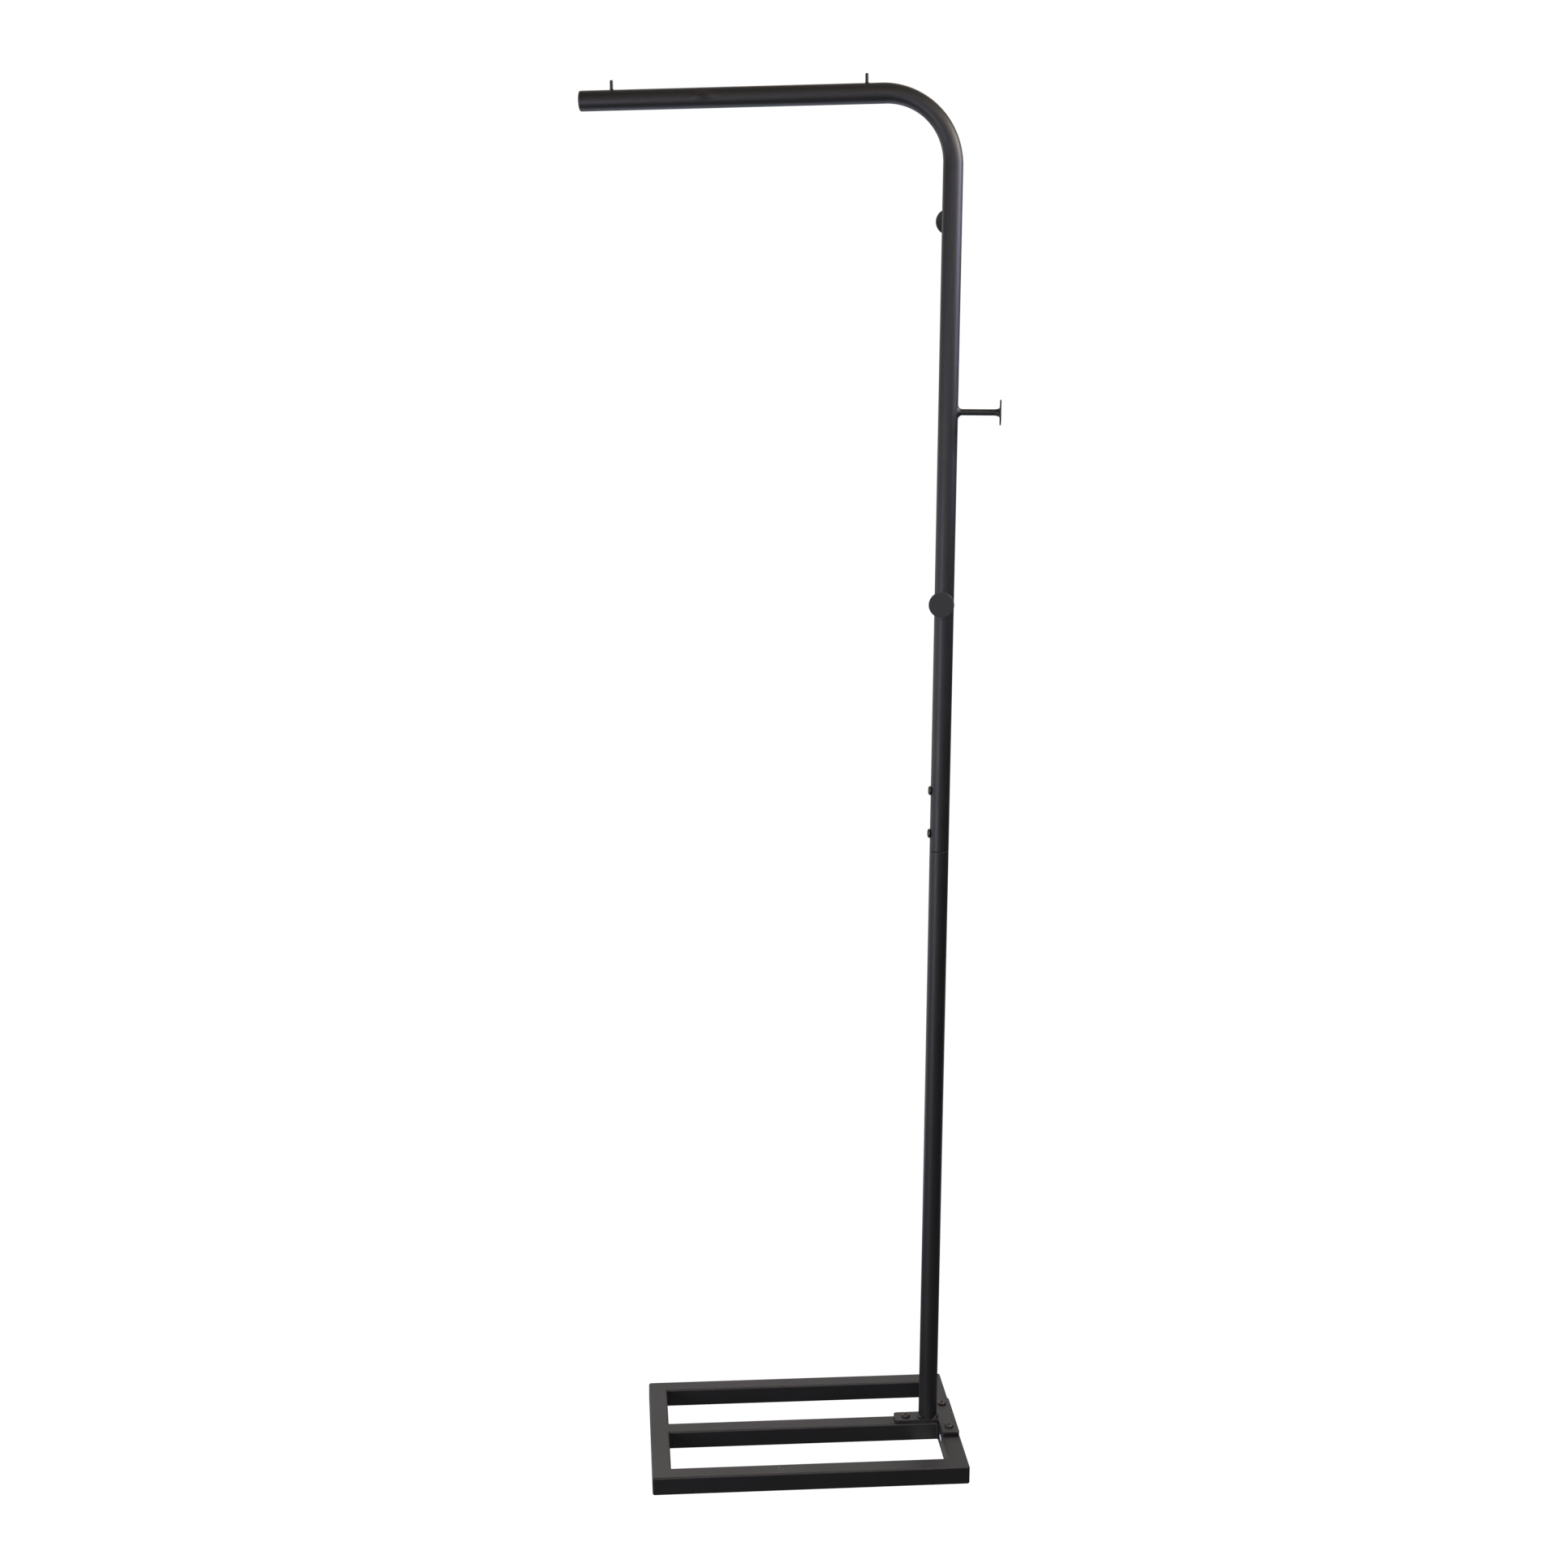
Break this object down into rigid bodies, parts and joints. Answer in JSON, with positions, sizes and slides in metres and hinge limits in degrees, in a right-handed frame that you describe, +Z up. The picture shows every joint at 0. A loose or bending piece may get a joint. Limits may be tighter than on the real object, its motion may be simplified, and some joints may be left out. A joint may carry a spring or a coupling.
{
  "type": "standing coat rack",
  "caption": "Slim standing coat rack: flat square-tube base frame, offset round post in two lengths, one bent hanging arm with stop pins, and round disc hooks.",
  "frame": {"origin": "on the floor under the middle of the base frame, on the underside of the middle bar", "axes": "+Z up along the post; +X along the base's long side, towards the bar that carries the post; +Y away from the front"},
  "size_m": [0.5276, 0.265, 1.8061],
  "materials": {
    "powder_coat": "black satin powder coat on steel, a fine even texture",
    "black_screw": "black oxide steel, satin, a little browner than the coat",
    "plated_steel": "bright zinc plated steel, hidden inside the tubes",
    "cap_plastic": "black moulded polyethylene, matt"
  },
  "bodies": {
    "root": {"base_front_bar": "powder_coat", "base_back_bar": "powder_coat", "base_left_bar": "powder_coat", "base_right_bar": "powder_coat", "base_middle_bar": "powder_coat", "foot_plate": "powder_coat", "foot_weld_left": "powder_coat", "foot_weld_right": "powder_coat", "foot_screw_stem": "black_screw", "foot_screw_front": "black_screw", "foot_screw_back": "black_screw", "foot_nut_stem": "plated_steel", "foot_nut_front": "plated_steel", "foot_nut_back": "plated_steel", "lower_tube": "powder_coat", "joint_sleeve": "plated_steel", "joint_screw_lower": "black_screw", "joint_screw_upper": "black_screw", "joint_nut_lower": "plated_steel", "joint_nut_upper": "plated_steel", "upper_tube": "powder_coat", "stop_pin_outer": "powder_coat", "stop_pin_inner": "powder_coat", "arm_end_cap": "cap_plastic", "hook_front_peg": "powder_coat", "hook_front_root_weld": "powder_coat", "hook_front_disc_weld": "powder_coat", "hook_front_disc": "powder_coat", "hook_right_peg": "powder_coat", "hook_right_root_weld": "powder_coat", "hook_right_disc_weld": "powder_coat", "hook_right_disc": "powder_coat", "hook_back_peg": "powder_coat", "hook_back_root_weld": "powder_coat", "hook_back_disc_weld": "powder_coat", "hook_back_disc": "powder_coat"}
  },
  "joints": []
}
